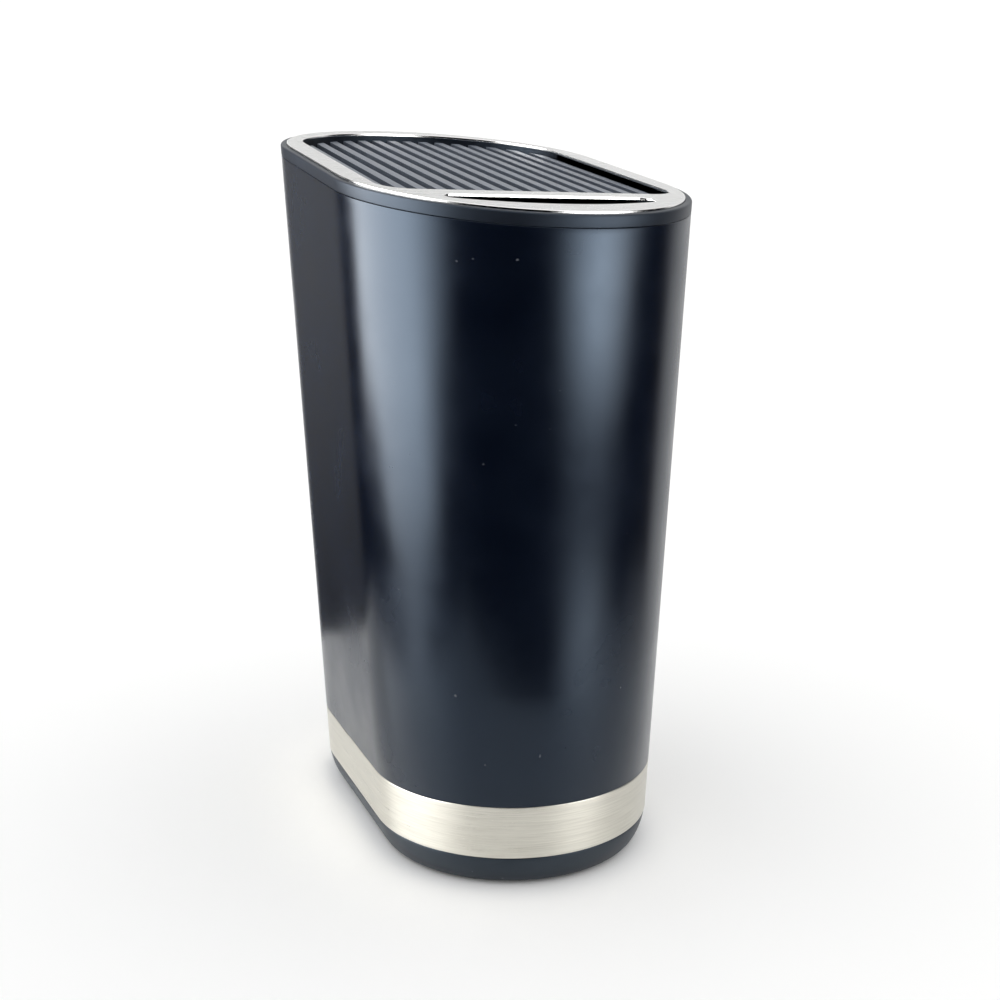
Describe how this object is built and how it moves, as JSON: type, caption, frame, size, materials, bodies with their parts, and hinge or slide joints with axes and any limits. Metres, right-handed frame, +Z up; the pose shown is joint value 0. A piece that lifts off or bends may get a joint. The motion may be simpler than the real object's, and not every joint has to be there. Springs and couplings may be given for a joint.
{
  "type": "knife block",
  "caption": "Oval upright knife block with a slanted top, a lift-out slatted insert for knives and a curved scissors slot in front.",
  "frame": {"origin": "on the table, under the middle of the block's overall box", "axes": "+Z up, -Y the rounded front with the scissors slot, +Y the taller back, +X the right side seen from the front"},
  "size_m": [0.1252, 0.1878, 0.261],
  "materials": {
    "shell_black": "soft satin coating",
    "base_black": "satin",
    "rim_black": "satin",
    "pocket_black": "satin",
    "tray_grey": "satin",
    "web_grey": "satin",
    "slat_grey": "satin",
    "foot_rubber": "matt",
    "brushed_steel": "brushed round the oval",
    "bezel_steel": "satin top with polished edges",
    "screw_steel": "plain"
  },
  "bodies": {
    "block": {"casing": "shell_black", "band": "brushed_steel", "base": "base_black", "base_screws": "screw_steel", "feet": "foot_rubber", "rim": "rim_black", "bezel": "bezel_steel", "scissors_pocket": "pocket_black"},
    "insert": {"tray": "tray_grey", "cross_web": "web_grey", "slat_01": "slat_grey", "slat_02": "slat_grey", "slat_03": "slat_grey", "slat_04": "slat_grey", "slat_05": "slat_grey", "slat_06": "slat_grey", "slat_07": "slat_grey", "slat_08": "slat_grey", "slat_09": "slat_grey", "slat_10": "slat_grey", "slat_11": "slat_grey", "slat_12": "slat_grey", "slat_13": "slat_grey", "slat_14": "slat_grey", "slat_15": "slat_grey"}
  },
  "joints": [
    {"name": "insert_lift", "type": "slide", "parent": "block", "child": "insert", "axis": [0, 0, 1], "range_m": [0, 0.26]}
  ]
}
